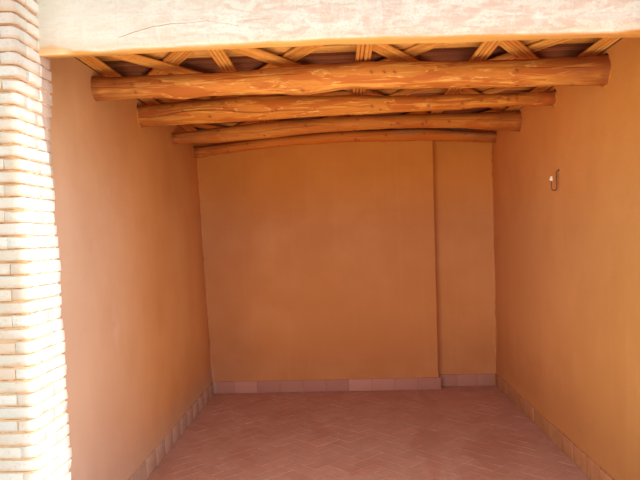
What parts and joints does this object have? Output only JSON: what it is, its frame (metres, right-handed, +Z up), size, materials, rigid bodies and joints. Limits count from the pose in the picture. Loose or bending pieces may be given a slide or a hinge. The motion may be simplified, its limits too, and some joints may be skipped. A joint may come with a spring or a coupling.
{
  "type": "open-fronted adobe room",
  "caption": "Open-fronted mud-brick room with a brick pier at each side, a flat roof of crooked logs, cane lattice and reed mat, and a herringbone brick floor.",
  "frame": {"origin": "middle of the building's outline at the underside of its walls and floor bed", "axes": "+Y from the open front to the back, along the longest side; +Z up; +X to the right for someone looking in at the front"},
  "size_m": [3.76, 4.422, 3.256],
  "materials": {
    "pier_brick": "matt",
    "mud_brick": "matt",
    "earth_plaster": "matt",
    "facade_plaster": "matt",
    "parapet_mud": "matt",
    "log_wood": "matt",
    "cane": "satin",
    "reed": "matt",
    "roof_mud": "matt",
    "spout_wood": "matt",
    "floor_bed": "matt",
    "floor_brick": "matt",
    "skirting_tile": "matt",
    "iron": "matt",
    "knob": "satin"
  },
  "bodies": {
    "root": {"left_pier": "pier_brick", "right_pier": "pier_brick", "left_wall": "mud_brick", "right_wall": "mud_brick", "back_wall": "mud_brick", "back_wall_lining": "mud_brick", "left_plaster": "earth_plaster", "right_plaster": "earth_plaster", "lining_plaster": "earth_plaster", "recess_plaster": "earth_plaster", "front_lintel": "facade_plaster", "front_parapet": "facade_plaster", "left_parapet": "parapet_mud", "right_parapet": "parapet_mud", "back_parapet": "parapet_mud", "beam_1": "log_wood", "beam_2": "log_wood", "beam_3": "log_wood", "beam_4": "log_wood", "cane_runs": "cane", "cane_diagonals_right": "cane", "cane_diagonals_left": "cane", "cane_crosses": "cane", "reed_mat": "reed", "roof_earth": "roof_mud", "roof_topping": "roof_mud", "rain_spout": "spout_wood", "floor_bed": "floor_bed", "floor_paving": "floor_brick", "threshold": "floor_brick", "left_skirting": "skirting_tile", "right_skirting": "skirting_tile", "back_skirting": "skirting_tile", "step_skirting": "skirting_tile", "recess_skirting": "skirting_tile", "wall_hook": "iron", "hook_knob": "knob"}
  },
  "joints": []
}
